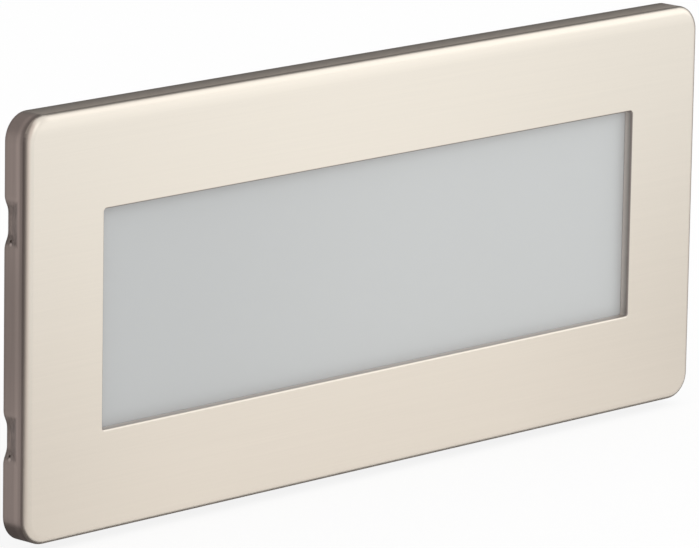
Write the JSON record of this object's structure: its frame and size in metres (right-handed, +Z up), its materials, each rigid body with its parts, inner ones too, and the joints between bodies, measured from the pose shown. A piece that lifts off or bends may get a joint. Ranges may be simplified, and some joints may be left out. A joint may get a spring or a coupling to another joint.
{
  "type": "recessed light",
  "caption": "Recessed wall light: satin metal face plate that pulls off, frosted lens over a sealed LED light box, swing-out wall clamps and a rear cable gland.",
  "frame": {"origin": "middle of the four wall-screw holes, on the wall's surface behind the middle of the face plate", "axes": "+X along the face plate, +Y into the wall, +Z up; the face looks along -Y"},
  "size_m": [0.24, 0.0532, 0.105],
  "materials": {
    "board_white": "white solder mask on metal core",
    "brass": "turned",
    "cast_aluminium": "pressed, matt",
    "cover_plastic": "moulded, fine grain",
    "driver_case": "moulded, fine grain",
    "foam": "closed-cell foam",
    "frame_plastic": "moulded, fine grain",
    "frosted_glass": "frosted",
    "gland_plastic": "moulded nylon",
    "lead_brown": "insulation",
    "lead_green": "insulation",
    "lead_red": "insulation",
    "led_package": "phosphor",
    "rubber_black": "matt",
    "satin_nickel": "brushed satin nickel",
    "silicone": "translucent silicone",
    "spring_steel": "bright rolled strip",
    "terminal_plastic": "moulded",
    "thermal_pad": "soft gap pad",
    "tinned_copper": "tinned",
    "white_plastic": "white, satin",
    "zinc": "die-cast",
    "zinc_plated_steel": "zinc plated"
  },
  "bodies": {
    "housing": {"back_box": "cast_aluminium", "board_connector": "white_plastic", "board_screws": "zinc_plated_steel", "box_gasket": "foam", "box_screws": "zinc_plated_steel", "captive_washers": "zinc_plated_steel", "clip_screws": "zinc_plated_steel", "cover_screws": "zinc_plated_steel", "cover_seal": "foam", "driver": "driver_case", "driver_cover": "cover_plastic", "driver_leads": "lead_brown", "driver_screws": "zinc_plated_steel", "earth_lead": "lead_green", "earth_lug": "tinned_copper", "earth_screw": "zinc_plated_steel", "gland_body": "gland_plastic", "gland_locknut": "gland_plastic", "gland_nut": "gland_plastic", "gland_seal": "rubber_black", "gland_washer": "rubber_black", "lead_grommet": "rubber_black", "led_board": "board_white", "led_leads": "lead_red", "leds": "led_package", "lens": "frosted_glass", "lens_clips": "spring_steel", "lens_gasket": "silicone", "mounting_frame": "frame_plastic", "reflector": "white_plastic", "retaining_springs": "spring_steel", "spring_rivets": "zinc_plated_steel", "terminal_block": "terminal_plastic", "terminal_screws": "brass", "thermal_pad": "thermal_pad", "wall_gasket": "foam"},
    "face": {"face_plate": "satin_nickel"},
    "clamp_screw_1": {"clamp_screw_1": "zinc_plated_steel"},
    "clamp_wing_1": {"clamp_wing_1": "zinc"},
    "clamp_screw_2": {"clamp_screw_2": "zinc_plated_steel"},
    "clamp_wing_2": {"clamp_wing_2": "zinc"},
    "clamp_screw_3": {"clamp_screw_3": "zinc_plated_steel"},
    "clamp_wing_3": {"clamp_wing_3": "zinc"},
    "clamp_screw_4": {"clamp_screw_4": "zinc_plated_steel"},
    "clamp_wing_4": {"clamp_wing_4": "zinc"}
  },
  "joints": [
    {"name": "face_pull", "type": "slide", "parent": "housing", "child": "face", "axis": [0, -1, 0], "range_m": [0, 0.04], "deforming": ["retaining_springs"]},
    {"name": "clamp_turn_1", "type": "hinge", "parent": "housing", "child": "clamp_screw_1", "pos_m": [-0.07, 0, 0.0395], "axis": [0, -1, 0], "range_deg": [0, 90]},
    {"name": "clamp_draw_1", "type": "slide", "parent": "clamp_screw_1", "child": "clamp_wing_1", "axis": [0, -1, 0], "range_m": [0, 0.015]},
    {"name": "clamp_turn_2", "type": "hinge", "parent": "housing", "child": "clamp_screw_2", "pos_m": [0.07, 0, 0.0395], "axis": [0, 1, 0], "range_deg": [0, 90]},
    {"name": "clamp_draw_2", "type": "slide", "parent": "clamp_screw_2", "child": "clamp_wing_2", "axis": [0, -1, 0], "range_m": [0, 0.015]},
    {"name": "clamp_turn_3", "type": "hinge", "parent": "housing", "child": "clamp_screw_3", "pos_m": [-0.07, 0, -0.0395], "axis": [0, 1, 0], "range_deg": [0, 90]},
    {"name": "clamp_draw_3", "type": "slide", "parent": "clamp_screw_3", "child": "clamp_wing_3", "axis": [0, -1, 0], "range_m": [0, 0.015]},
    {"name": "clamp_turn_4", "type": "hinge", "parent": "housing", "child": "clamp_screw_4", "pos_m": [0.07, 0, -0.0395], "axis": [0, -1, 0], "range_deg": [0, 90]},
    {"name": "clamp_draw_4", "type": "slide", "parent": "clamp_screw_4", "child": "clamp_wing_4", "axis": [0, -1, 0], "range_m": [0, 0.015]}
  ]
}
